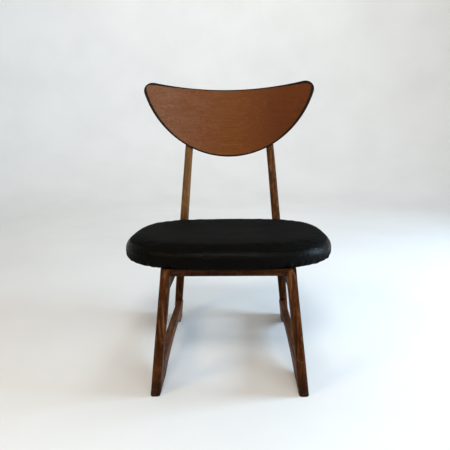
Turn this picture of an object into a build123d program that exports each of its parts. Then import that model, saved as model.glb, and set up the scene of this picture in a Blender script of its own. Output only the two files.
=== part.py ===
from build123d import *
import os
from math import atan2, cos, degrees, radians, sin, tan

# Low side chair on a sled base: two splayed side frames (front leg, arched
# runner, back post, side rail) tied by a front and a rear rail, a round-edged
# upholstered pad screwed on from below, and a curved crescent back panel
# screwed to the fronts of the two posts.
# Millimetres. +X is across the chair, to the right for someone who looks at its
# front, the sitter faces -Y, +Z is up. The origin is on the floor, under the
# middle of the chair's bounding box.

# ---- driving dimensions ---------------------------------------------------
front_foot_y = -246.8          # centre of the front feet
seat_slope = 2.4               # degrees, the seat falls towards the back
seat_front_z = 283.0           # underside of the pad above the front feet

pad_half_width = 254.0
pad_half_depth = 210.0
pad_front_power = 2.75         # roundness of the pad's outline in front
pad_rear_power = 3.1           # and behind, where its corners are squarer
pad_height = 50.0
skin = 1.5                     # thickness of the vinyl cover
board_thickness = 12.0
board_inset = 14.0             # foam wrapped over the edge of the board
hem_inset = 46.0               # how far the cover is turned under

leg_width = 21.0
leg_corner = 6.5
toe_chamfer = 1.2
rail_arris = 2.5
rail_thickness = 19.0
rail_depth = 60.0
cross_rail_thickness = 20.0
front_rail_height = 17.3
rear_rail_height = 45.0

panel_lean = 11.0              # degrees, back panel and post tops
panel_radius = 570.0           # plan curve of the panel's front face
panel_thickness = 9.5
panel_z = 593.0                # height of the panel's reference point
panel_y = front_foot_y + 468.0
panel_tip = (259.5, 126.5)     # sharp corner of the crescent, before rounding
panel_top_middle = 109.5
panel_bottom = -97.0
panel_tip_radius = 27.0

dowel_diameter = 8.0
dowel_length = 32.0
screw_diameter = 4.0
screw_head = 8.0

os.makedirs("parts", exist_ok=True)


# ---- reference planes and small helpers -----------------------------------
def superellipse(angle, half_width, half_depth):
    """A point on the pad's outline: rounder in front than behind."""
    c, s = cos(angle), sin(angle)
    power = pad_rear_power if s > 0 else pad_front_power
    x = half_width * abs(c) ** (2 / power) * (1 if c > 0 else -1)
    y = half_depth * abs(s) ** (2 / power) * (1 if s > 0 else -1)
    return x, y


def seat_underside(y):
    """Height of the pad's underside at a distance y along the chair."""
    return seat_front_z - (y - front_foot_y) * tan(radians(seat_slope))


pad_centre_y = front_foot_y + 205.0
seat_plane = Plane(
    origin=(0, pad_centre_y, seat_underside(pad_centre_y)),
    x_dir=(1, 0, 0),
    z_dir=(0, sin(radians(seat_slope)), cos(radians(seat_slope))),
)
panel_up = Vector(0, sin(radians(panel_lean)), cos(radians(panel_lean)))
panel_front = Vector(0, -cos(radians(panel_lean)), sin(radians(panel_lean)))
panel_origin = Vector(0, panel_y, panel_z)
panel_plane = Plane(origin=panel_origin, x_dir=(1, 0, 0), z_dir=panel_front)


def mirrored(piece):
    """The same piece on the other side of the chair."""
    with BuildPart() as twin:
        mirror(piece.part, about=Plane.YZ)
    return twin


def minus(piece, *tools):
    """A piece with the room for its neighbours cut out of it."""
    with BuildPart() as cut:
        add(piece.part)
        for tool in tools:
            add(tool.part, mode=Mode.SUBTRACT)
    return cut


def save(piece, name):
    piece.part.label = name
    export_step(piece.part, f"parts/{name}.step")


def lofted(sections, corner, straight=False):
    """A shaped leg through rounded rectangles: (z, x, y, width, depth)."""
    with BuildPart() as leg:
        for z, x, y, width, depth in sections:
            with BuildSketch(Plane.XY.offset(z)):
                with Locations((x, y)):
                    RectangleRounded(width, depth, corner)
        loft(ruled=straight)
        chamfer(faces().sort_by(Axis.Z)[0].edges(), length=toe_chamfer)
    return leg


def bar(start, end, up, width, height, corner):
    """A straight rail with eased edges from start to end."""
    along = Vector(*end) - Vector(*start)
    across = along.cross(Vector(*up)).normalized()
    with BuildPart() as rail:
        with BuildSketch(Plane(origin=start, x_dir=across, z_dir=along)):
            RectangleRounded(width, height, corner)
        extrude(amount=along.length)
    return rail


def under_seat(piece):
    """A rail trimmed to the slope of the pad's underside."""
    with BuildPart() as trimmed:
        add(piece.part)
        split(bisect_by=seat_plane, keep=Keep.BOTTOM)
    return trimmed


def dowels(places):
    """A group of dowels: (middle, direction)."""
    with BuildPart() as group:
        for middle, direction in places:
            with BuildSketch(Plane(origin=middle, z_dir=direction)):
                Circle(dowel_diameter / 2)
            extrude(amount=dowel_length / 2, both=True)
    return group


def screws(places, length, recessed=True):
    """A group of countersunk screws: (top of the head, direction)."""
    core = screw_diameter / 2
    rim = screw_head / 2
    edge = 0.6
    with BuildPart() as group:
        for top, direction in places:
            axis = Plane(origin=top, z_dir=direction)
            section = Plane(origin=top, x_dir=axis.x_dir, z_dir=-axis.y_dir)
            with BuildSketch(section):
                with BuildLine():
                    Polyline(
                        (0, 0), (rim, 0), (rim, edge), (core, rim - core + edge),
                        (core, length - screw_diameter), (0, length), close=True,
                    )
                make_face()
            revolve(axis=Axis(origin=top, direction=direction))
            if recessed:
                with BuildSketch(axis):
                    Rectangle(screw_head * 0.55, 0.9)
                    Rectangle(0.9, screw_head * 0.55)
                extrude(amount=1.4, mode=Mode.SUBTRACT)
    return group


# ---- legs and posts ---------------------------------------------------------
front_leg_sections = [
    (0.0, 163.5, 10.0, 21.5, 26.0),
    (80.0, 155.7, 14.5, leg_width, 30.0),
    (160.0, 147.6, 19.0, leg_width, 34.0),
    (240.0, 139.3, 23.4, leg_width, 37.5),
    (258.0, 137.6, 24.3, 20.7, 37.9),
    (266.0, 136.4, 24.7, 19.8, 38.0),
    (273.0, 134.7, 25.1, 17.6, 38.0),
    (279.0, 132.6, 25.6, 14.4, 37.7),
    (286.0, 131.8, 26.2, 13.2, 37.3),
]
back_post_sections = [
    (0.0, 167.0, 425.0, 21.5, 26.0),
    (110.0, 157.3, 421.5, 23.0, 29.0),
    (225.0, 146.8, 420.5, 24.0, 33.0),
    (310.0, 139.4, 424.0, 23.5, 34.0),
    (400.0, 132.8, 438.0, 23.0, 30.0),
    (520.0, 124.0, 461.3, 22.5, 25.0),
    (664.0, 114.4, 489.0, 21.0, 18.5),
]


def placed(sections):
    """Leg sections moved from the front feet to the chair's frame."""
    return [(z, x, y + front_foot_y, width, depth) for z, x, y, width, depth in sections]


front_leg_blank = under_seat(lofted(placed(front_leg_sections), leg_corner, straight=True))
back_post_blank = lofted(placed(back_post_sections), leg_corner)

# ---- back panel ---------------------------------------------------------------
slab_bottom = panel_origin - panel_up * 130
with BuildPart() as back_panel_blank:
    with BuildSketch(Plane(origin=slab_bottom, x_dir=(1, 0, 0), z_dir=panel_up)):
        with Locations((0, -panel_radius)):
            Circle(panel_radius + panel_thickness)
            Circle(panel_radius, mode=Mode.SUBTRACT)
        with Locations((0, -30)):
            Rectangle(2 * panel_tip[0] + 30, 120, mode=Mode.INTERSECT)
    extrude(amount=300)
    with BuildSketch(panel_plane):
        with BuildLine():
            ThreePointArc((-panel_tip[0], panel_tip[1]), (0, panel_bottom), panel_tip)
            ThreePointArc(panel_tip, (0, panel_top_middle), (-panel_tip[0], panel_tip[1]))
        make_face()
        fillet(vertices(), radius=panel_tip_radius)
    extrude(amount=120, both=True, mode=Mode.INTERSECT)
    rim = edges().filter_by(lambda edge: edge.length > 30)
    fillet(rim, radius=2.6)

# ---- rails ----------------------------------------------------------------------
front_leg_top_y = front_foot_y + 25.0
post_seat_y = front_foot_y + 419.0
trim = 2.0                     # rails start this much too high and are trimmed
side_rail_drop = rail_depth / 2 - trim
side_rail_blank = under_seat(bar(
    (140.0, front_leg_top_y - 4, seat_underside(front_leg_top_y - 4) - side_rail_drop),
    (143.5, post_seat_y, seat_underside(post_seat_y) - side_rail_drop),
    (-0.09, 0, 1),
    rail_thickness,
    rail_depth,
    rail_arris,
))
front_rail_z = seat_underside(front_leg_top_y) - front_rail_height / 2 + trim
front_rail_blank = under_seat(bar(
    (-137.0, front_leg_top_y, front_rail_z),
    (137.0, front_leg_top_y, front_rail_z),
    (0, 0, 1),
    cross_rail_thickness,
    front_rail_height,
    rail_arris,
))
rear_rail_y = front_foot_y + 380.0
rear_rail_z = seat_underside(rear_rail_y) - rear_rail_height / 2 + trim
rear_rail_blank = under_seat(bar(
    (-140.0, rear_rail_y, rear_rail_z),
    (140.0, rear_rail_y, rear_rail_z),
    (0, 0, 1),
    cross_rail_thickness,
    rear_rail_height,
    rail_arris,
))

# ---- runner: a board on edge, arched underneath -----------------------------------
splay = 5.2
runner_plane = Plane(
    origin=(162.8, front_foot_y, 0),
    x_dir=(0, 1, 0),
    z_dir=(cos(radians(splay)), 0, sin(radians(splay))),
)
runner_top = 63.0
arch_start = 78.0
arch_end = 388.0
arch_rise = 30.0
arch_shoulder = 21.6
runner_front = 8.0
runner_rear = 422.0
below = 4.0                    # trimmed off level with the floor
with BuildPart() as runner_blank:
    with BuildSketch(runner_plane):
        with BuildLine():
            Polyline(
                (arch_start, -below), (runner_front, -below), (runner_front, runner_top),
                (runner_rear, runner_top - 6), (runner_rear, -below), (arch_end, -below),
            )
            Spline(
                (arch_end, -below),
                (arch_end - 46, arch_shoulder),
                ((arch_start + arch_end) / 2, arch_rise),
                (arch_start + 70, arch_shoulder),
                (arch_start, -below),
            )
        make_face()
    extrude(amount=rail_thickness / 2, both=True)
    long_edges = edges().filter_by(lambda edge: edge.length > 60)
    fillet(long_edges, radius=3)
    split(bisect_by=Plane.XY, keep=Keep.TOP)

# ---- joints: dowels ----------------------------------------------------------------
def both_sides(places):
    """Places and directions repeated on the other side of the chair."""
    return places + [((-x, y, z), (-dx, dy, dz)) for (x, y, z), (dx, dy, dz) in places]


along_rail = (0.009, 1.0, -tan(radians(seat_slope)))
side_rail_front_y = front_foot_y + 44.0
side_rail_back_y = front_foot_y + 402.0
runner_front_y = front_foot_y + 27.0
runner_back_y = front_foot_y + 409.0

front_rail_dowels = dowels(both_sides([
    ((119.0, front_leg_top_y, front_rail_z), (1, 0, 0)),
]))
rear_rail_dowels = dowels(both_sides([
    ((133.6, rear_rail_y, rear_rail_z + 12), (1, 0, 0)),
    ((133.6, rear_rail_y, rear_rail_z - 12), (1, 0, 0)),
]))
side_rail_dowels = dowels(both_sides([
    ((142.6, side_rail_front_y, seat_underside(side_rail_front_y) - 48), along_rail),
    ((144.6, side_rail_back_y, seat_underside(side_rail_back_y) - 15), along_rail),
    ((147.0, side_rail_back_y, seat_underside(side_rail_back_y) - 45), along_rail),
]))
runner_dowels = dowels(both_sides([
    ((160.2, runner_front_y, 17), (0, 1, 0)),
    ((158.0, runner_front_y, 44), (0, 1, 0)),
    ((161.6, runner_back_y, 15), (0, 1, 0)),
    ((159.8, runner_back_y, 39), (0, 1, 0)),
]))
dowel_groups = [front_rail_dowels, rear_rail_dowels, side_rail_dowels, runner_dowels]

# ---- seat pad: board, foam, cover and dust cover ------------------------------------
outline_points = 48


def pad_outline(inset):
    """Superellipse outline of the pad, drawn inside its full size."""
    points = []
    for step in range(outline_points):
        angle = radians((step + 0.5) * 360 / outline_points)
        points.append(superellipse(angle, pad_half_width - inset, pad_half_depth - inset))
    with BuildSketch(Plane.XY, mode=Mode.PRIVATE) as outline:
        with BuildLine():
            Spline(*points, periodic=True)
        make_face()
    return outline.sketch


def pad_layer(inset, low, high, top_radius=0.0, bottom_radius=0.0):
    """One layer of the pad between two heights above its underside."""
    with BuildPart(seat_plane) as layer:
        with BuildSketch(seat_plane.offset(low)):
            add(pad_outline(inset))
        extrude(amount=high - low)
        local_z = seat_plane.z_dir
        if top_radius:
            top = layer.faces().sort_by(Axis(seat_plane.origin, local_z))[-1]
            fillet(top.edges(), radius=top_radius)
        if bottom_radius:
            bottom = layer.faces().sort_by(Axis(seat_plane.origin, local_z))[0]
            fillet(bottom.edges(), radius=bottom_radius)
    return layer


seat_board_blank = pad_layer(board_inset, skin, skin + board_thickness)
foam_envelope = pad_layer(skin, skin, pad_height - skin, top_radius=21.5, bottom_radius=6.5)
cover_envelope = pad_layer(0, 0, pad_height, top_radius=23, bottom_radius=8)
hem_opening = pad_layer(hem_inset, 0, skin)
seat_foam = minus(foam_envelope, seat_board_blank)
seat_cover_blank = minus(cover_envelope, foam_envelope, hem_opening)
seat_dust_cover = pad_layer(hem_inset + 0.5, 0, skin)

# ---- staples that hold the hem ------------------------------------------------------
staple_width = 10.0
staple_wire = 0.9
staple_leg = 6.0
staple_inset = 19.0
staple_count = 44
with BuildPart() as cover_staples:
    for step in range(staple_count):
        angle = radians(step * 360 / staple_count + 4)
        x, y = superellipse(angle, pad_half_width - staple_inset, pad_half_depth - staple_inset)
        over_front_frame = y < -145 and abs(x) < 166
        over_back_frame = y > 165 and 60 < abs(x) < 168
        if over_front_frame or over_back_frame:
            continue
        turn = degrees(atan2(y, x)) + 90
        spot = seat_plane * Pos(x, y, 0) * Rot(0, 0, turn)
        with BuildSketch(Plane(spot).offset(-staple_wire)):
            Rectangle(staple_width, staple_wire)
        extrude(amount=staple_wire)
        with BuildSketch(Plane(spot)):
            with Locations((-(staple_width - staple_wire) / 2, 0), ((staple_width - staple_wire) / 2, 0)):
                Rectangle(staple_wire, staple_wire)
        extrude(amount=staple_leg)

# ---- corner blocks and their screws ------------------------------------------------
block_height = 16.0
block_leg = 62.0
block_wall = 5.0               # how far the raw block reaches into the rails
block_screw_drop = 8.5         # below the pad's underside
front_inner_y = front_leg_top_y + cross_rail_thickness / 2
rear_inner_y = rear_rail_y - cross_rail_thickness / 2
side_inner_x = 132.0


def corner_block(side, end):
    """A glued triangle in one corner: side is +1 right, end is +1 rear."""
    wall_y = rear_inner_y if end > 0 else front_inner_y
    corner_x = side * (side_inner_x + block_wall)
    corner_y = wall_y + end * block_wall - seat_plane.origin.Y
    reach = block_leg + block_wall
    with BuildPart() as block:
        with BuildSketch(seat_plane.offset(-block_height)):
            with BuildLine():
                Polyline(
                    (corner_x, corner_y),
                    (corner_x - side * reach, corner_y),
                    (corner_x - side * reach, corner_y - end * 14),
                    (corner_x - side * 14, corner_y - end * reach),
                    (corner_x, corner_y - end * reach),
                    close=True,
                )
            make_face()
        extrude(amount=block_height - 0.2)
    return block


corners = {
    "front_left": (-1, -1), "front_right": (1, -1),
    "rear_left": (-1, 1), "rear_right": (1, 1),
}
block_blanks = {name: corner_block(*corner) for name, corner in corners.items()}

seat_up = seat_plane.z_dir
seat_screw_places = []
block_screw_places = []
for side, end in corners.values():
    wall_y = rear_inner_y if end > 0 else front_inner_y
    base_x = side * (side_inner_x - 19)
    base_y = wall_y - end * 19
    under = Vector(base_x, base_y, seat_underside(base_y)) - seat_up * block_height
    seat_screw_places.append((under - seat_up * 0.1, seat_up))
    middle_z = seat_underside(wall_y) - block_screw_drop
    block_screw_places.append(((side * (side_inner_x - 19), wall_y - end * 38, middle_z), (side, 0, 0)))
    block_screw_places.append(((side * (side_inner_x - 40), wall_y - end * 17, middle_z), (0, end, 0)))

seat_screw_length = 26.0
block_screw_length = 31.0
seat_screws = screws(seat_screw_places, seat_screw_length)
seat_screw_room = screws(seat_screw_places, seat_screw_length, recessed=False)
block_screws = screws(block_screw_places, block_screw_length)
block_screw_room = screws(block_screw_places, block_screw_length, recessed=False)
with BuildPart() as block_screw_pockets:
    for top, direction in block_screw_places:
        with BuildSketch(Plane(origin=top, z_dir=direction)):
            Circle(screw_head / 2 + 0.5)
        extrude(amount=-30)

# ---- panel screws and plugs ------------------------------------------------------------
plug_depth = 6.0
panel_screw_places = []
for height, x, back in ((548.0, 122.2, 480.0), (638.0, 116.2, 495.0)):
    for side in (-1, 1):
        surface = Vector(side * x, front_foot_y + back, height)
        panel_screw_places.append((surface + panel_front * plug_depth, panel_front))
panel_screw_length = 22.0
panel_screws = screws(panel_screw_places, panel_screw_length)
panel_screw_room = screws(panel_screw_places, panel_screw_length, recessed=False)
with BuildPart() as plug_bores:
    for top, direction in panel_screw_places:
        with BuildSketch(Plane(origin=top, z_dir=direction)):
            Circle(screw_head / 2 + 0.5)
        extrude(amount=-20)

# ---- finished pieces: every joint cut into its neighbours -----------------------------
front_leg_right = minus(front_leg_blank, *dowel_groups)
post_envelope = minus(back_post_blank, back_panel_blank)
post_drilled = minus(post_envelope, plug_bores, panel_screw_room, *dowel_groups)
with BuildPart() as back_post_right:
    add(post_drilled.part.solids().sort_by(SortBy.VOLUME)[-1])
back_panel = minus(back_panel_blank, panel_screw_room)
with BuildPart() as panel_plugs:
    for side_post in (post_envelope, mirrored(post_envelope)):
        add(plug_bores.part & side_post.part)
side_rail_shaped = minus(side_rail_blank, front_leg_blank, back_post_blank)
side_rail_right = minus(side_rail_shaped, block_screw_room, *dowel_groups)
runner_right = minus(runner_blank, front_leg_blank, back_post_blank, runner_dowels)
left_leg = mirrored(front_leg_blank)
left_rail = mirrored(side_rail_blank)
front_rail_shaped = minus(front_rail_blank, front_leg_blank, left_leg)
front_rail = minus(front_rail_shaped, front_rail_dowels, block_screw_room)
rear_rail_shaped = minus(rear_rail_blank, side_rail_blank, left_rail)
rear_rail = minus(rear_rail_shaped, rear_rail_dowels, block_screw_room)
frame_shapes = [front_leg_blank, left_leg, side_rail_blank, left_rail, front_rail_blank, rear_rail_blank]
seat_board = minus(seat_board_blank, seat_screw_room, cover_staples)
seat_cover = minus(seat_cover_blank, seat_screw_room, cover_staples)
dust_cover = minus(seat_dust_cover, seat_screw_room)

save(front_leg_right, "front_leg_right")
save(mirrored(front_leg_right), "front_leg_left")
save(back_post_right, "back_post_right")
save(mirrored(back_post_right), "back_post_left")
save(side_rail_right, "side_rail_right")
save(mirrored(side_rail_right), "side_rail_left")
save(runner_right, "runner_right")
save(mirrored(runner_right), "runner_left")
save(front_rail, "front_rail")
save(rear_rail, "rear_rail")
save(back_panel, "back_panel")
save(panel_screws, "panel_screws")
save(panel_plugs, "panel_screw_plugs")
save(front_rail_dowels, "front_rail_dowels")
save(rear_rail_dowels, "rear_rail_dowels")
save(side_rail_dowels, "side_rail_dowels")
save(runner_dowels, "runner_dowels")
for corner_name, blank in block_blanks.items():
    shaped = minus(blank, *frame_shapes)
    drilled = minus(shaped, seat_screw_room, block_screw_room, block_screw_pockets)
    save(drilled, f"corner_block_{corner_name}")
save(block_screws, "corner_block_screws")
save(seat_board, "seat_board")
save(seat_foam, "seat_foam")
save(seat_cover, "seat_cover")
save(dust_cover, "seat_dust_cover")
save(cover_staples, "cover_staples")
save(seat_screws, "seat_screws")
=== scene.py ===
import math

import bpy
import numpy as np
from mathutils import Matrix, Vector, noise


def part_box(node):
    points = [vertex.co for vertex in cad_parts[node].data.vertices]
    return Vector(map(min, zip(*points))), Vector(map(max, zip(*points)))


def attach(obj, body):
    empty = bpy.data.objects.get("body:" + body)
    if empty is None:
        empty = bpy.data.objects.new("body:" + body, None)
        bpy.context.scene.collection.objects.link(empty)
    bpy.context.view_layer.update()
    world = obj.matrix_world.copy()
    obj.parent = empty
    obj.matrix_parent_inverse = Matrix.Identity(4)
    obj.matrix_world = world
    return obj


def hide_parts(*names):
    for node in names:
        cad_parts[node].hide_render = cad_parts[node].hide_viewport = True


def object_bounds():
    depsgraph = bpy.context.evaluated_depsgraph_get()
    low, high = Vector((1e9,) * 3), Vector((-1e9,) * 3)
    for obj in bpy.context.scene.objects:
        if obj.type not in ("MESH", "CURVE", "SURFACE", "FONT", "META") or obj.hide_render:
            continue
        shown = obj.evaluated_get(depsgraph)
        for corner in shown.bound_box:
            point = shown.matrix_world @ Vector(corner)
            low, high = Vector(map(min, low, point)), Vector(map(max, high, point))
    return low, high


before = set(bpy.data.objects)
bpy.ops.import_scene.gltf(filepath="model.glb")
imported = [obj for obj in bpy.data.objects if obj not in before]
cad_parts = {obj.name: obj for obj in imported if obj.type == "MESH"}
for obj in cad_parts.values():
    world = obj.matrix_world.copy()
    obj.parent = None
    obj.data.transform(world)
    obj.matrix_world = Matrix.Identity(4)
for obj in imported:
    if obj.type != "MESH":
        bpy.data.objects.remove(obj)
cad_low, cad_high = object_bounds()

# ---- driving values, in metres and radians ---------------------------------
SEAT_SLOPE = math.radians(2.4)       # the seat falls towards the back
PANEL_LEAN = math.radians(11.0)      # the back panel leans back
PAD_POWER = 2.75                     # roundness of the pad's outline
REAR_POWER = 3.1                     # the pad is squarer at its rear corners
PAD_HEIGHT = 0.0530                  # the pad's height above its own underside
PAD_SHIFT = -0.0018                  # the cover was pulled on a little to one side
SKIN = 0.0015                        # thickness of the cover
HEM = 0.046                          # how far the cover is turned under
CLOTH_INSET = HEM + 0.0008           # the underside cloth ends just inside the hem
BOARD_HEIGHT = 0.012
BOARD_INSET = 0.014                  # the board is this much smaller than the pad all round
FOOT_HEIGHT = 0.040                  # how far up the feet are darker towards the floor
FRONT_FOOT_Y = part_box("runner_right")[0].y - 0.008

SEAT_UP = Vector((0, math.sin(SEAT_SLOPE), math.cos(SEAT_SLOPE)))
PANEL_UP = Vector((0, math.sin(PANEL_LEAN), math.cos(PANEL_LEAN)))

board_low, board_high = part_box("seat_board")
cover_low, cover_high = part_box("seat_cover")
SEAT_ORIGIN = (board_low + board_high) / 2 - SEAT_UP * (SKIN + BOARD_HEIGHT / 2)
SEAT_FRAME = Matrix.Translation(SEAT_ORIGIN) @ Matrix.Rotation(-SEAT_SLOPE, 4, "X")
PAD_HALF_WIDTH = (cover_high.x - cover_low.x) / 2
PAD_HALF_DEPTH = (board_high.y - board_low.y) / 2 / math.cos(SEAT_SLOPE) + BOARD_INSET


# ---- node materials ------------------------------------------------------------
class Paint:
    """A procedural material: put() adds a node, the other methods are common uses."""

    def __init__(self, name, **constants):
        """The constants are set straight on the shader's sockets of those names."""
        self.material = bpy.data.materials.new(name)
        self.material.use_nodes = True
        self.tree = self.material.node_tree
        self.shader = self.tree.nodes["Principled BSDF"]
        for socket, value in constants.items():
            self.shader.inputs[socket.replace("_", " ")].default_value = value

    def feed(self, socket, value):
        """Links a node's output to the socket, or sets the socket to a constant."""
        if isinstance(value, bpy.types.NodeSocket):
            self.tree.links.new(value, socket)
        elif value is not None:
            socket.default_value = value

    def put(self, kind, *inputs, **settings):
        """Adds a node, with its first inputs fed in order and its settings given by name."""
        node = self.tree.nodes.new("ShaderNode" + kind)
        for name, value in settings.items():
            setattr(node, name, value)
        for socket, value in zip(node.inputs, inputs):
            self.feed(socket, value)
        return node

    def place(self, stretch=(1, 1, 1), shift=(0, 0, 0)):
        """The place on the chair, stretched so that a texture runs along it."""
        coordinates = self.put("TexCoord").outputs["Object"]
        return self.put("Mapping", coordinates, shift, None, stretch).outputs[0]

    def noise(self, vector, scale, detail=4.0, rough=0.55, twist=0.0):
        """Fractal noise from 0 to 1."""
        node = self.put("TexNoise")
        for name, value in (("Vector", vector), ("Scale", scale), ("Detail", detail),
                            ("Roughness", rough), ("Distortion", twist)):
            self.feed(node.inputs[name], value)
        return node.outputs[0]

    def cells(self, vector, scale, feature="F1", output="Distance"):
        """Voronoi cells."""
        node = self.put("TexVoronoi", feature=feature)
        self.feed(node.inputs["Vector"], vector)
        self.feed(node.inputs["Scale"], scale)
        return node.outputs[output]

    def band(self, value, low, high, start=0.0, end=1.0):
        """The value taken smoothly from low..high to start..end."""
        node = self.put("MapRange", value, low, high, start, end, interpolation_type="SMOOTHSTEP")
        return node.outputs[0]

    def sums(self, operation, *values):
        """One arithmetic step."""
        return self.put("Math", *values, operation=operation).outputs[0]

    def blend(self, share, first, second):
        """The first colour, with this share of the second laid over it."""
        node = self.put("Mix", data_type="RGBA")
        self.feed(node.inputs[0], share)
        self.feed(node.inputs[6], first)
        self.feed(node.inputs[7], second)
        return node.outputs[2]

    def lay(self, colour, tone, mask, share):
        """The colour with the tone over it where the mask is, at most this share of it."""
        return self.blend(self.sums("MULTIPLY", mask, share), colour, tone)

    def bump(self, height, distance, under=None, strength=1.0):
        """A normal raised by the height, on top of the normal under it."""
        node = self.put("Bump")
        for name, value in (("Height", height), ("Distance", distance),
                            ("Strength", strength), ("Normal", under)):
            self.feed(node.inputs[name], value)
        return node.outputs[0]

    def edge(self, radius):
        """A mask that is 1 on an edge or corner and 0 on a flat face."""
        rounded = self.put("Bevel", radius, samples=4).outputs[0]
        straight = self.put("NewGeometry").outputs["Normal"]
        facing = self.put("VectorMath", rounded, straight, operation="DOT_PRODUCT").outputs["Value"]
        return self.band(facing, 0.985, 0.80)

    def finish(self, colour, rough, normal):
        """Feeds the shader and gives back the material."""
        self.feed(self.shader.inputs["Base Color"], colour)
        self.feed(self.shader.inputs["Roughness"], rough)
        self.feed(self.shader.inputs["Normal"], normal)
        return self.material


def rgb(red, green, blue):
    """An opaque colour in linear light."""
    return (red, green, blue, 1.0)


# how a texture is stretched so that the grain runs along one axis
GRAIN = {"x": (0.05, 1, 1), "y": (1, 0.05, 1), "z": (1, 1, 0.05)}


def wood(name, grain, pale, deep, dark, worn, feet=0.0, painted_light_upper=0.0, seed=0.0, gloss=(0.38, 0.58)):
    """Open-grained stained timber: growth bands, pores, scuffs, dark arrises worn in places.

    feet is the height up to which the lower end is darker towards the floor; the next argument
    is the share of painted light that lightens the upper part.
    """
    paint = Paint(name, Specular_IOR_Level=0.03)
    shift = (seed, seed * 1.7, seed * 0.6)
    along = paint.place(GRAIN[grain], shift)
    plain = paint.place((1, 1, 1), shift)
    cloud = paint.noise(plain, 11, 3, 0.6)
    growth = paint.noise(along, 95, 6, 0.62, 0.6)
    fibre = paint.noise(along, 520, 4, 0.7)
    pores = paint.band(paint.noise(along, 1250, 2, 0.5), 0.56, 0.70)
    scuffs = paint.band(paint.noise(plain, 60, 5, 0.7, 1.2), 0.60, 0.74)
    streaks = paint.noise(along, 210, 3, 0.55, 0.4)
    colour = paint.blend(paint.band(growth, 0.40, 0.62), pale, deep)
    colour = paint.blend(paint.band(cloud, 0.42, 0.66, 0.0, 0.7), colour, dark)
    colour = paint.blend(paint.band(streaks, 0.48, 0.62, 0.0, 0.80), colour, dark)
    colour = paint.blend(paint.band(streaks, 0.44, 0.32, 0.0, 0.55), colour, worn)
    colour = paint.blend(paint.band(fibre, 0.3, 0.75, 0.0, 0.45), colour, dark)
    colour = paint.lay(colour, dark, pores, 0.55)
    edges = paint.edge(0.004)
    colour = paint.lay(colour, dark, edges, 0.55)
    rubbed = paint.band(paint.noise(paint.place((1, 1, 0.45), shift), 85, 5, 0.7, 0.8), 0.53, 0.66)
    colour = paint.lay(colour, worn, rubbed, 0.32)
    patchy = paint.band(paint.noise(plain, 42, 4, 0.65), 0.52, 0.68)
    wear = paint.sums("MULTIPLY", edges, patchy)
    colour = paint.lay(colour, worn, wear, 0.65)
    colour = paint.lay(colour, worn, scuffs, 0.30)
    height = paint.put("SeparateXYZ", paint.place()).outputs[2]
    # painted light: the upper part of a post is lightened as if lit
    if painted_light_upper:
        painted_light_share = paint.band(height, 0.29, 0.36, 0.0, painted_light_upper)
        colour = paint.blend(painted_light_share, colour, rgb(0.190, 0.102, 0.036))
    # the lower end is made darker towards the floor, up to the feet height, with a ragged top edge
    if feet:
        waver = paint.band(paint.noise(plain, 75, 4), 0.3, 0.7, -0.007, 0.007)
        ragged = paint.sums("ADD", height, waver)
        lower_darkening = paint.band(ragged, feet * 0.45, feet, 0.85, 0.0)
        colour = paint.blend(lower_darkening, colour, rgb(0.014, 0.006, 0.003))
        chips = paint.band(paint.noise(plain, 260, 3, 0.6), 0.60, 0.68)
        chipped = paint.sums("MULTIPLY", chips, paint.band(height, 0.004, feet, 0.7, 0.0))
        colour = paint.blend(chipped, colour, worn)
    rough = paint.band(paint.noise(plain, 30, 5, 0.65), 0.3, 0.7, *gloss)
    rough = paint.sums("ADD", rough, paint.sums("MULTIPLY", pores, 0.15))
    normal = paint.bump(growth, 0.00025)
    normal = paint.bump(paint.sums("MULTIPLY", pores, -1.0), 0.00012, normal)
    normal = paint.bump(scuffs, 0.00008, normal)
    return paint.finish(colour, rough, normal)


def panel_edge_distance(paint):
    """How far inside the crescent's outline a point is, and how far to the right.

    The outline is two arcs, one below and one above, that meet in softened tips.
    """
    half_chord, tip_height = 0.2595, 0.1265
    bottom, top_middle = -0.097, 0.1095
    sag, dip = tip_height - bottom, tip_height - top_middle
    bottom_radius = (half_chord ** 2 + sag ** 2) / (2 * sag)
    top_radius = (half_chord ** 2 + dip ** 2) / (2 * dip)
    tip_softness = 0.043
    edge_above_box = 0.0014
    post_to_panel = 0.030
    panel_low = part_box("back_panel")[0]
    height = panel_low.z + edge_above_box - bottom * math.cos(PANEL_LEAN)
    post_rear = (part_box("back_post_right")[1].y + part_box("back_post_left")[1].y) / 2
    middle_y = post_rear - post_to_panel
    coordinates = paint.put("TexCoord").outputs["Object"]
    middle = Vector((0, middle_y, height))
    moved = paint.put("VectorMath", coordinates, middle, operation="SUBTRACT").outputs[0]
    up = paint.put("VectorMath", moved, PANEL_UP, operation="DOT_PRODUCT").outputs["Value"]
    across = paint.put("SeparateXYZ", moved).outputs[0]
    flat = paint.put("CombineXYZ", across, up, 0.0).outputs[0]
    from_bottom = paint.put("VectorMath", flat, (0, bottom + bottom_radius, 0), operation="DISTANCE")
    from_top = paint.put("VectorMath", flat, (0, top_middle + top_radius, 0), operation="DISTANCE")
    inside_bottom = paint.sums("SUBTRACT", bottom_radius, from_bottom.outputs["Value"])
    inside_top = paint.sums("SUBTRACT", from_top.outputs["Value"], top_radius)
    return paint.sums("SMOOTH_MIN", inside_bottom, inside_top, tip_softness), across


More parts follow.
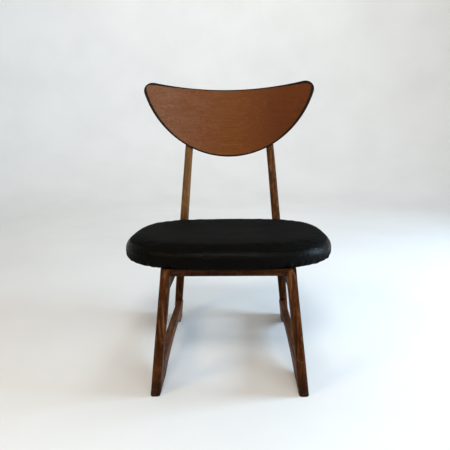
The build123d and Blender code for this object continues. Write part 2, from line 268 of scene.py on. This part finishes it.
def veneer():
    """Crosswise veneer on the curved panel, with a dark stained rim all round, and painted light across
    it: a paler left end and a darker right end.
    """
    paint = Paint("teak_veneer", Specular_IOR_Level=0.05)
    along = paint.place((0.035, 1, 1))
    plain = paint.place()
    distance, across = panel_edge_distance(paint)
    figure = paint.noise(along, 60, 5, 0.6, 0.9)
    streaks = paint.noise(along, 380, 5, 0.68)
    pores = paint.band(paint.noise(along, 1500, 2, 0.5), 0.58, 0.70)
    cloud = paint.noise(plain, 9, 4, 0.6)
    flakes = paint.band(paint.noise(paint.place((1, 1, 0.35)), 70, 4, 0.7), 0.58, 0.72)
    specks = paint.band(paint.cells(plain, 34), 0.10, 0.05)
    # painted light: the paler, greyer left end is a painted reflection of the cool light from the right,
    # and the darker right end is painted shade where the panel curves away
    left = rgb(0.138, 0.062, 0.033)
    middle = rgb(0.124, 0.0380, 0.0060)
    right = rgb(0.066, 0.0155, 0.0018)
    colour = paint.blend(paint.band(across, -0.20, 0.02), left, middle)
    colour = paint.blend(paint.band(across, 0.0, 0.19), colour, right)
    colour = paint.blend(paint.band(figure, 0.38, 0.66, 0.0, 0.45), colour, rgb(0.105, 0.028, 0.006))
    colour = paint.blend(paint.band(streaks, 0.38, 0.72, 0.0, 0.60), colour, rgb(0.075, 0.022, 0.005))
    colour = paint.blend(paint.band(streaks, 0.42, 0.24, 0.0, 0.45), colour, rgb(0.270, 0.110, 0.036))
    colour = paint.blend(paint.band(cloud, 0.42, 0.7, 0.0, 0.30), colour, rgb(0.105, 0.026, 0.006))
    colour = paint.lay(colour, rgb(0.230, 0.095, 0.036), flakes, 0.16)
    colour = paint.lay(colour, rgb(0.040, 0.012, 0.004), pores, 0.45)
    colour = paint.lay(colour, rgb(0.060, 0.022, 0.010), specks, 0.35)
    widest = paint.band(across, 0.10, 0.25, 0.0036, 0.0085)
    widest = paint.sums("ADD", widest, paint.band(across, -0.12, -0.24, 0.0, 0.0040))
    ragged = paint.sums("ADD", widest, paint.band(paint.noise(plain, 120, 4), 0.3, 0.7, -0.0008, 0.0008))
    rim = paint.band(paint.sums("SUBTRACT", distance, ragged), -0.0008, 0.0012, 1.0, 0.0)
    colour = paint.blend(rim, colour, rgb(0.009, 0.005, 0.003))
    wear = paint.sums("MULTIPLY", paint.edge(0.003), paint.band(paint.noise(plain, 55, 4), 0.56, 0.70))
    colour = paint.lay(colour, rgb(0.170, 0.080, 0.040), wear, 0.5)
    rough = paint.band(paint.noise(plain, 24, 5, 0.65), 0.3, 0.7, 0.38, 0.54)
    rough = paint.sums("ADD", rough, paint.sums("MULTIPLY", pores, 0.12))
    normal = paint.bump(streaks, 0.00010)
    normal = paint.bump(paint.sums("MULTIPLY", pores, -1.0), 0.00008, normal)
    return paint.finish(colour, rough, normal)


def vinyl():
    """Black leathercloth: pebbled grain, finer creases, duller on top and where it turns under."""
    paint = Paint("black_leathercloth", Specular_IOR_Level=0.030)
    plain = paint.place()
    warped = paint.put("VectorMath", plain, None, None, operation="ADD")
    wobble = paint.put("TexNoise")
    paint.feed(wobble.inputs["Vector"], plain)
    paint.feed(wobble.inputs["Scale"], 300.0)
    small = paint.put("VectorMath", wobble.outputs["Color"], operation="SCALE")
    small.inputs["Scale"].default_value = 0.0009
    paint.feed(warped.inputs[1], small.outputs[0])
    pebbles = paint.cells(warped.outputs[0], 780, "SMOOTH_F1")
    creases = paint.cells(warped.outputs[0], 300, "DISTANCE_TO_EDGE")
    fine = paint.noise(plain, 2600, 3, 0.6)
    cloud = paint.noise(plain, 16, 4, 0.6)
    rubbed = paint.band(paint.noise(plain, 9, 5, 0.7), 0.5, 0.72)
    black = rgb(0.0013, 0.0012, 0.0009)
    greyer = rgb(0.0020, 0.0018, 0.0013)
    colour = paint.blend(paint.band(cloud, 0.3, 0.7), black, greyer)
    colour = paint.blend(paint.band(creases, 0.0, 0.09, 0.5, 0.0), colour, rgb(0.0015, 0.0015, 0.0015))
    colour = paint.lay(colour, rgb(0.010, 0.009, 0.008), rubbed, 0.10)
    upward = paint.put("SeparateXYZ", paint.put("NewGeometry").outputs["Normal"]).outputs[2]
    dull_top = paint.band(upward, 0.68, 0.90, 0.0, 0.53)
    dull_below = paint.band(upward, 0.25, -0.15, 0.0, 0.36)
    dulled = paint.sums("ADD", dull_top, dull_below)
    rough = paint.band(paint.noise(plain, 26, 5, 0.6), 0.3, 0.7, 0.25, 0.29)
    rough = paint.sums("ADD", rough, dulled)
    rough = paint.sums("SUBTRACT", rough, paint.sums("MULTIPLY", rubbed, 0.02))
    normal = paint.bump(paint.sums("MULTIPLY", pebbles, -1.0), 0.00035, strength=0.9)
    normal = paint.bump(paint.band(creases, 0.0, 0.12), 0.00012, normal, 0.6)
    normal = paint.bump(fine, 0.00003, normal, 0.5)
    return paint.finish(colour, rough, normal)


def steel(name, tone, rust, rough_range):
    """Plated steel, dulled and spotted with rust."""
    paint = Paint(name, Metallic=0.9)
    plain = paint.place()
    spots = paint.band(paint.noise(plain, 420, 4, 0.7), 0.55, 0.68)
    haze = paint.noise(plain, 150, 4)
    colour = paint.blend(paint.band(haze, 0.3, 0.7, 0.0, 0.4), tone, rgb(0.24, 0.22, 0.20))
    colour = paint.lay(colour, rust, spots, 0.6)
    rough = paint.band(haze, 0.3, 0.7, *rough_range)
    return paint.finish(colour, rough, paint.bump(spots, 0.00005))


def plywood():
    """Birch plywood, its plies stacked square to the board."""
    paint = Paint("birch_plywood")
    plain = paint.place()
    along = paint.place((0.06, 1, 1))
    plies = paint.put("TexWave", bands_direction="Z")
    paint.feed(plies.inputs["Vector"], plain)
    paint.feed(plies.inputs["Scale"], 130.0)
    grain = paint.noise(along, 150, 5, 0.6, 0.4)
    colour = paint.blend(paint.band(grain, 0.35, 0.7), rgb(0.46, 0.33, 0.20), rgb(0.34, 0.22, 0.12))
    colour = paint.lay(colour, rgb(0.22, 0.13, 0.07), plies.outputs[1], 0.25)
    return paint.finish(colour, paint.band(grain, 0.3, 0.7, 0.6, 0.75), paint.bump(grain, 0.0002))


def cambric():
    """Thin black woven cloth that closes the seat from below, a little dusty."""
    paint = Paint("black_cambric", Sheen_Weight=0.25, Sheen_Roughness=0.6)
    plain = paint.place()
    weave = []
    for direction in ("X", "Y"):
        threads = paint.put("TexWave", bands_direction=direction)
        paint.feed(threads.inputs["Vector"], plain)
        paint.feed(threads.inputs["Scale"], 420.0)
        paint.feed(threads.inputs["Distortion"], 0.6)
        weave.append(threads.outputs[1])
    cloth = paint.sums("MULTIPLY", *weave)
    dust = paint.band(paint.noise(plain, 22, 5, 0.65), 0.45, 0.75)
    colour = paint.blend(cloth, rgb(0.008, 0.008, 0.009), rgb(0.020, 0.020, 0.022))
    colour = paint.lay(colour, rgb(0.075, 0.068, 0.058), dust, 0.35)
    rough = paint.band(dust, 0.0, 1.0, 0.82, 0.95)
    return paint.finish(colour, rough, paint.bump(cloth, 0.0002))


def foam_material():
    """Open-cell polyurethane foam, yellowed."""
    paint = Paint("upholstery_foam", Subsurface_Weight=0.05)
    plain = paint.place()
    pits = paint.cells(plain, 900)
    cloud = paint.noise(plain, 18, 4)
    colour = paint.blend(paint.band(cloud, 0.3, 0.7), rgb(0.62, 0.50, 0.26), rgb(0.50, 0.36, 0.16))
    return paint.finish(colour, paint.band(pits, 0.0, 0.8, 0.95, 0.85), paint.bump(pits, 0.0005))


def plaster(name, tone):
    """The pale studio surface round the chair."""
    paint = Paint(name, Specular_IOR_Level=0.2)
    plain = paint.place()
    cloud = paint.noise(plain, 2.2, 4)
    darker = rgb(tone[0] * 0.95, tone[1] * 0.95, tone[2] * 0.95)
    colour = paint.blend(paint.band(cloud, 0.3, 0.7), rgb(*tone), darker)
    fine = paint.noise(plain, 160, 4)
    return paint.finish(colour, paint.band(cloud, 0.3, 0.7, 0.7, 0.8), paint.bump(fine, 0.0002))


# ---- the CAD pieces' finishes ---------------------------------------------------
LEG_TONES = dict(
    pale=rgb(0.080, 0.0255, 0.0060), deep=rgb(0.048, 0.0140, 0.0031),
    dark=rgb(0.017, 0.0045, 0.0014), worn=rgb(0.196, 0.084, 0.030),
)
# a darker copy of the timber for the rails that sit under the seat: painted shade
SHADED_TONES = dict(
    pale=rgb(0.044, 0.0150, 0.005), deep=rgb(0.027, 0.0085, 0.003),
    dark=rgb(0.009, 0.003, 0.0012), worn=rgb(0.090, 0.040, 0.016),
)
# a lighter, redder copy of the timber for the runners, whose tops face the light: painted light
LIT_RUNNER_TONES = dict(
    pale=rgb(0.122, 0.041, 0.016), deep=rgb(0.082, 0.025, 0.009),
    dark=rgb(0.034, 0.010, 0.004), worn=rgb(0.200, 0.086, 0.036),
)
BLOCK_TONES = dict(
    pale=rgb(0.42, 0.28, 0.14), deep=rgb(0.33, 0.20, 0.09),
    dark=rgb(0.20, 0.11, 0.05), worn=rgb(0.52, 0.38, 0.22),
)


def dress(finish, *nodes):
    """Gives a CAD piece its finish through its material slots."""
    for node in nodes:
        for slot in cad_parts[node].material_slots:
            slot.material = finish


def dress_timber():
    """Legs, posts, side rails and runners differ in figure; the two cross rails share one."""
    # the third value is how much painted light lightens the upper part of each post, most on the left
    for side, seed, painted_light_upper in (("left", 0.0, 0.42), ("right", 1.3, 0.06)):
        leg_wood = wood(f"leg_wood_{side}", "z", **LEG_TONES, feet=FOOT_HEIGHT, seed=seed + 2)
        dress(leg_wood, f"front_leg_{side}")
        post_wood = wood(
            f"post_wood_{side}", "z", **LEG_TONES, feet=FOOT_HEIGHT, painted_light_upper=painted_light_upper, seed=seed + 4,
        )
        dress(post_wood, f"back_post_{side}")
        rail_wood = wood(f"rail_wood_{side}", "y", **SHADED_TONES, seed=seed + 8, gloss=(0.55, 0.75))
        dress(rail_wood, f"side_rail_{side}")
        runner_wood = wood(f"runner_wood_{side}", "y", **LIT_RUNNER_TONES, seed=seed + 12)
        dress(runner_wood, f"runner_{side}")
    dress(wood("cross_rail_wood", "x", **SHADED_TONES, seed=3.1), "front_rail", "rear_rail")
    dress(veneer(), "back_panel")


def dress_fixings():
    """Corner blocks, dowels, plugs, screws and staples."""
    block_wood = wood("softwood_block", "x", **BLOCK_TONES, gloss=(0.6, 0.8))
    for end in ("front", "rear"):
        dress(block_wood, f"corner_block_{end}_left", f"corner_block_{end}_right")
    dowel_wood = wood("beech_dowel", "x", **BLOCK_TONES, seed=5.0, gloss=(0.5, 0.7))
    dress(dowel_wood, "front_rail_dowels", "rear_rail_dowels", "side_rail_dowels", "runner_dowels")
    dress(wood("plug_wood", "x", **SHADED_TONES, seed=7.0), "panel_screw_plugs")
    zinc = steel("dull_zinc", rgb(0.46, 0.45, 0.43), rgb(0.14, 0.07, 0.03), (0.35, 0.6))
    dress(zinc, "seat_screws", "corner_block_screws", "panel_screws")
    wire = steel("staple_wire", rgb(0.55, 0.54, 0.52), rgb(0.20, 0.11, 0.06), (0.28, 0.5))
    dress(wire, "cover_staples")


def dress_seat(black_vinyl, black_cloth):
    """The seat's board, foam, cover and underside cloth."""
    dress(plywood(), "seat_board")
    dress(foam_material(), "seat_foam")
    dress(black_vinyl, "seat_cover")
    dress(black_cloth, "seat_dust_cover")


# ---- mesh helpers ------------------------------------------------------------------
def outline_point(angle, inset):
    """A point on the pad's superellipse outline, drawn inside its full size."""
    c, s = math.cos(angle), math.sin(angle)
    power = REAR_POWER if s > 0 else PAD_POWER
    x = (PAD_HALF_WIDTH - inset) * math.copysign(abs(c) ** (2 / power), c)
    y = (PAD_HALF_DEPTH - inset) * math.copysign(abs(s) ** (2 / power), s)
    return x, y


def new_object(name, vertices, faces):
    """A mesh object from lists of points and faces."""
    mesh = bpy.data.meshes.new(name)
    mesh.from_pydata(vertices, [], faces)
    mesh.update()
    made = bpy.data.objects.new(name, mesh)
    bpy.context.scene.collection.objects.link(made)
    return made


def ring_faces(rings, steps):
    """The four-sided faces between rings of points, each ring of so many steps."""
    faces = []
    for ring in range(rings - 1):
        for step in range(steps):
            a = ring * steps + step
            b = ring * steps + (step + 1) % steps
            faces.append((a, b, b + steps, a + steps))
    return faces


def stacked(name, profile, steps=144):
    """A closed form from outline rings at (inset, height), capped at both ends."""
    vertices = []
    for inset, height in profile:
        for step in range(steps):
            vertices.append((*outline_point(2 * math.pi * step / steps, inset), height))
    faces = ring_faces(len(profile), steps)
    faces.append(tuple(reversed(range(steps))))
    last = (len(profile) - 1) * steps
    faces.append(tuple(range(last, last + steps)))
    return new_object(name, vertices, faces)


def settle(obj):
    """Replaces an object's mesh by what its modifiers make of it."""
    bpy.context.view_layer.update()
    graph = bpy.context.evaluated_depsgraph_get()
    mesh = bpy.data.meshes.new_from_object(obj.evaluated_get(graph))
    obj.modifiers.clear()
    obj.data = mesh
    return obj


def smooth_shaded(obj):
    """Shades every face smooth."""
    for polygon in obj.data.polygons:
        polygon.use_smooth = True


def points_of(mesh):
    """The mesh's points as rows of an array."""
    co = np.zeros(len(mesh.vertices) * 3, np.float32)
    mesh.vertices.foreach_get("co", co)
    return co.reshape(-1, 3).astype(float)


def set_points(mesh, co):
    """Moves the mesh's points to the rows of an array."""
    mesh.vertices.foreach_set("co", co.astype(np.float32).ravel())
    mesh.update()


# ---- the seat pad ---------------------------------------------------------------------
def blown_up(pad, frames=16, pressure=2.5, cap=0.0022):
    """Cloth under pressure from the foam, held where the board and staples hold it.

    The cloth only gives the swelling its form. cap is the furthest that a point may move.
    """
    free_above, grip_fade = 0.007, 0.004
    rest = points_of(pad.data)
    held = pad.vertex_groups.new(name="held")
    for index, point in enumerate(rest):
        weight = min(1.0, max(0.0, (free_above - point[2]) / grip_fade))
        if weight > 0:
            held.add([index], weight, "REPLACE")
    cloth = pad.modifiers.new("Cloth", "CLOTH")
    cloth.settings.quality = 6
    cloth.settings.mass = 0.25
    cloth.settings.use_pressure = True
    cloth.settings.uniform_pressure_force = pressure
    cloth.settings.tension_stiffness = 12
    cloth.settings.compression_stiffness = 12
    cloth.settings.bending_stiffness = 6.0
    cloth.settings.effector_weights.gravity = 0
    cloth.settings.vertex_group_mass = "held"
    cloth.point_cache.frame_start = 1
    cloth.point_cache.frame_end = frames
    for step in range(1, frames + 1):
        bpy.context.scene.frame_set(step)
    graph = bpy.context.evaluated_depsgraph_get()
    mesh = bpy.data.meshes.new_from_object(pad.evaluated_get(graph))
    pad.modifiers.clear()
    bpy.context.scene.frame_set(1)
    moved = points_of(mesh) - rest
    length = np.maximum(np.linalg.norm(moved, axis=1), 1e-9)
    set_points(mesh, rest + moved * (cap * np.tanh(length / cap) / length)[:, None])
    pad.data = mesh
    pad.vertex_groups.clear()
    return pad


def round_position(x, y):
    """How far round the pad a point is, from 0 to 1, and how far out, 1 at the outline."""
    turn = np.arctan2(y / PAD_HALF_DEPTH, x / PAD_HALF_WIDTH) / (2 * np.pi) % 1.0
    power = np.where(y > 0, REAR_POWER, PAD_POWER)
    out = (np.abs(x / PAD_HALF_WIDTH) ** power + np.abs(y / PAD_HALF_DEPTH) ** power) ** (1 / power)
    return turn, out


def smooth(value, low, high):
    """0 at low and beyond, 1 at high and beyond, and a smooth step between them."""
    t = np.clip((value - low) / (high - low), 0, 1)
    return t * t * (3 - 2 * t)


# where the cover is pulled into longer pleats: (share of the way round, half width, height)
PLEATS = (
    (0.612, 0.0040, 0.022), (0.634, 0.0032, 0.019), (0.592, 0.0030, 0.018), (0.655, 0.0030, 0.016),
    (0.888, 0.0038, 0.022), (0.866, 0.0032, 0.020), (0.908, 0.0030, 0.018), (0.845, 0.0028, 0.015),
    (0.112, 0.0038, 0.022), (0.134, 0.0030, 0.018), (0.388, 0.0038, 0.022), (0.366, 0.0030, 0.018),
)


def gathered(co, seed=4):
    """The cover pulled under and stapled: dimples at the lower edge, pleats at the corners."""
    pucker_depth, more_at_corners, pleat_depth = 0.00030, 0.00100, 0.0011
    rng = np.random.default_rng(seed)
    turn, out = round_position(co[:, 0], co[:, 1])
    height = co[:, 2]
    angle = turn * 2 * np.pi
    corner = np.abs(np.sin(2 * angle)) ** 1.5
    pull = np.zeros(len(co))
    for waves, size in ((58, 0.9), (83, 0.7), (121, 0.5)):
        phase = rng.uniform(0, 2 * np.pi)
        drift = 0.6 * np.sin(angle * rng.integers(3, 7) + rng.uniform(0, 6.28))
        pull += size * np.sin(waves * angle + phase + drift)
    low = smooth(height, 0.020, 0.004) * smooth(out, 0.86, 0.97)
    depth = (pucker_depth + more_at_corners * corner) * low * pull
    long_pleats = np.zeros(len(co))
    for place, width, reach in PLEATS:
        nearness = np.exp(-(((turn - place + 0.5) % 1.0 - 0.5) / width) ** 2)
        long_pleats += nearness * smooth(height, reach, reach * 0.35) * smooth(out, 0.80, 0.95)
    depth = depth - pleat_depth * long_pleats
    outward = np.stack([np.cos(angle), np.sin(angle), np.zeros(len(co))], axis=1)
    return co + outward * depth[:, None]


def uneven(co):
    """Slow undulation of an old foam pad, and a hollow where it has been sat on."""
    swell_height, hollow_depth = 0.0004, 0.0032
    hollow_half_width, hollow_half_depth, hollow_y = 0.15, 0.13, 0.04
    lifted = smooth(co[:, 2], 0.012, 0.034)
    swell = np.array([noise.fractal(Vector((x * 9, y * 9, 3.0)), 1.0, 2.0, 3) for x, y, _ in co])
    across = co[:, 0] / hollow_half_width
    along = (co[:, 1] - hollow_y) / hollow_half_depth
    sat_on = np.exp(-(across ** 2 + along ** 2))
    co[:, 2] += lifted * (swell_height * swell - hollow_depth * sat_on)
    return co


# the pad's edge before it is blown up, from its flat underside to its top: (inset, height)
PAD_PROFILE = (
    (0.0340, 0.0000), (0.0132, 0.0000), (0.0098, 0.0013), (0.0068, 0.0042), (0.0048, 0.0088),
    (0.0034, 0.0145), (0.0028, 0.0215), (0.0032, 0.0290), (0.0052, 0.0358), (0.0090, 0.0416),
    (0.0144, 0.0458), (0.0212, 0.0486), (0.0315, 0.0500), (0.0500, 0.0505), (0.1000, 0.0496),
    (0.1500, 0.0480),
)


def make_pad():
    """The whole pad as one solid form: blown up, brought to size, gathered and sat on."""
    side_clearance, end_clearance = 0.0004, 0.0010
    pad = stacked("seat_cushion", PAD_PROFILE)
    remesh = pad.modifiers.new("Remesh", "REMESH")
    remesh.mode = "VOXEL"
    remesh.voxel_size = 0.005
    settle(pad)
    blown_up(pad)
    co = points_of(pad.data)
    co[:, 0] *= (PAD_HALF_WIDTH - side_clearance) / np.abs(co[:, 0]).max()
    co[:, 0] += PAD_SHIFT
    co[:, 1] *= (PAD_HALF_DEPTH - end_clearance) / np.abs(co[:, 1]).max()
    co[:, 2] *= min(1.0, PAD_HEIGHT / co[:, 2].max())
    co[:, 2] = np.maximum(co[:, 2], 0.0)
    set_points(pad.data, co)
    refine = pad.modifiers.new("Subdivision", "SUBSURF")
    refine.levels = refine.render_levels = 1
    settle(pad)
    co = points_of(pad.data)
    co = uneven(gathered(co))
    co[:, 2] = np.maximum(co[:, 2], 0.0)
    set_points(pad.data, co)
    return pad


def hollowed(pad):
    """Cuts the board's pocket and the opening inside the turned-under hem."""
    clearance, below = 0.0003, 0.004
    pocket = stacked("pocket", [
        (HEM, -below), (HEM, SKIN - clearance), (BOARD_INSET - clearance, SKIN - clearance),
        (BOARD_INSET - clearance, SKIN + BOARD_HEIGHT + clearance),
    ])
    cut = pad.modifiers.new("Pocket", "BOOLEAN")
    cut.operation = "DIFFERENCE"
    cut.solver = "EXACT"
    cut.object = pocket
    settle(pad)
    bpy.data.objects.remove(pocket)
    return pad


def make_cushion(black_vinyl):
    """The padded piece that shows in place of the CAD cover and foam."""
    cushion = hollowed(make_pad())
    cushion.data.transform(SEAT_FRAME)
    cushion.data.materials.clear()
    cushion.data.materials.append(black_vinyl)
    smooth_shaded(cushion)
    cushion.data.set_sharp_from_angle(angle=math.radians(42))
    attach(cushion, "root")
    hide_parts("seat_cover", "seat_foam")


# ---- the cloth that closes the seat from below ----------------------------------------
def cloth_form(steps=96, rings=22):
    """A thin cloth tacked inside the hem, with faint ripples that die out at its edge."""
    lift, middle_lift, ripple_height, thickness = 0.0007, 0.0006, 0.0003, 0.0004
    vertices = [(0.0, 0.0, middle_lift)]
    for ring in range(1, rings + 1):
        share = ring / rings
        for step in range(steps):
            x, y = outline_point(2 * math.pi * step / steps, CLOTH_INSET)
            x, y = x * share, y * share
            ripple = noise.noise(Vector((x * 26, y * 26, 1.0))) * ripple_height * (1 - share ** 6)
            vertices.append((x, y, lift + ripple))
    faces = [(0, 1 + step, 1 + (step + 1) % steps) for step in range(steps)]
    for ring in range(rings - 1):
        for step in range(steps):
            a = 1 + ring * steps + step
            b = 1 + ring * steps + (step + 1) % steps
            faces.append((a, a + steps, b + steps, b))
    cloth = new_object("seat_underside_cloth", vertices, faces)
    thicken = cloth.modifiers.new("Thickness", "SOLIDIFY")
    thicken.thickness = thickness
    thicken.offset = 0
    settle(cloth)
    return cloth


def make_underside_cloth(black_cloth):
    """The sheet that shows in place of the CAD dust cover."""
    underside_cloth = cloth_form()
    underside_cloth.data.transform(SEAT_FRAME)
    underside_cloth.data.materials.append(black_cloth)
    smooth_shaded(underside_cloth)
    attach(underside_cloth, "root")
    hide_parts("seat_dust_cover")


# ---- studio: pale floor that curves up all round, soft light, camera -------------------
def make_studio():
    """A round pale floor that sweeps up into a wall well away from the chair."""
    flat_radius, sweep, wall_top = 2.4, 1.4, 3.4
    profile = [(0.0, 0.0), (0.6, 0.0), (1.4, 0.0), (flat_radius, 0.0)]
    for step in range(1, 13):
        angle = math.pi / 2 * step / 12
        profile.append((flat_radius + sweep * math.sin(angle), sweep * (1 - math.cos(angle))))
    profile.append((flat_radius + sweep, wall_top))
    steps = 72
    vertices = []
    for radius, height in profile:
        for step in range(steps):
            turn = 2 * math.pi * step / steps
            vertices.append((radius * math.cos(turn), radius * math.sin(turn), height))
    studio = new_object("studio_floor", vertices, ring_faces(len(profile), steps))
    smooth_shaded(studio)
    studio.data.materials.append(plaster("pale_plaster", (0.65, 0.645, 0.63)))


def soft_light(name, place, aim, size, power, tone):
    """A round soft light that the camera doesn't see."""
    light = bpy.data.lights.new(name, "AREA")
    light.shape = "DISK"
    light.size = size
    light.energy = power
    light.color = tone
    lamp = bpy.data.objects.new(name, light)
    bpy.context.scene.collection.objects.link(lamp)
    lamp.location = place
    lamp.rotation_euler = (Vector(aim) - Vector(place)).to_track_quat("-Z", "Y").to_euler()
    lamp.visible_camera = False


def make_light():
    """Cool light from the right, warm light from the left, and an even pale background."""
    # Standard keeps the blacks of the cover and the stain as deep as their colours say
    bpy.context.scene.view_settings.view_transform = "Standard"
    middle = (cad_low + cad_high) / 2
    soft_light("window_right", (2.05, -0.10, 0.75), middle, 0.9, 82, (0.56, 0.78, 1.0))
    soft_light("window_front", (1.35, -2.05, 1.45), middle, 1.5, 15, (0.86, 0.93, 1.0))
    soft_light("lamp_left", (-1.75, -1.55, 1.55), middle, 0.8, 22, (1.0, 0.76, 0.48))
    soft_light("ceiling_front", (0.0, -1.75, 2.00), middle, 0.7, 38, (1.0, 0.96, 0.90))
    soft_light("backdrop", (0.0, 1.30, 2.90), (0.0, 3.8, 1.2), 1.6, 55, (1.0, 0.99, 0.97))
    world = bpy.data.worlds.new("studio")
    bpy.context.scene.world = world
    world.use_nodes = True
    background = world.node_tree.nodes["Background"]
    background.inputs["Color"].default_value = (0.86, 0.90, 0.96, 1)
    background.inputs["Strength"].default_value = 0.35


def make_camera():
    """The view from the front, a little to one side and from above the seat."""
    aside, before_the_feet, height = 0.018, 0.926, 0.585
    turned, tilted_down, rolled = 1.37, 7.0, -0.7
    camera_data = bpy.data.cameras.new("camera")
    camera = bpy.data.objects.new("camera", camera_data)
    bpy.context.scene.collection.objects.link(camera)
    camera_data.sensor_width = 36.0
    camera_data.lens = 36.08
    camera_data.shift_y = -0.0933
    place = Matrix.Translation((aside, FRONT_FOOT_Y - before_the_feet, height))
    turn = Matrix.Rotation(math.radians(turned), 4, "Z")
    tilt = Matrix.Rotation(math.radians(90 - tilted_down), 4, "X")
    roll = Matrix.Rotation(math.radians(rolled), 4, "Z")
    camera.matrix_world = place @ turn @ tilt @ roll
    bpy.context.scene.camera = camera


vinyl_finish = vinyl()
cloth_finish = cambric()
dress_timber()
dress_fixings()
dress_seat(vinyl_finish, cloth_finish)
make_cushion(vinyl_finish)
make_underside_cloth(cloth_finish)
make_studio()
make_light()
make_camera()
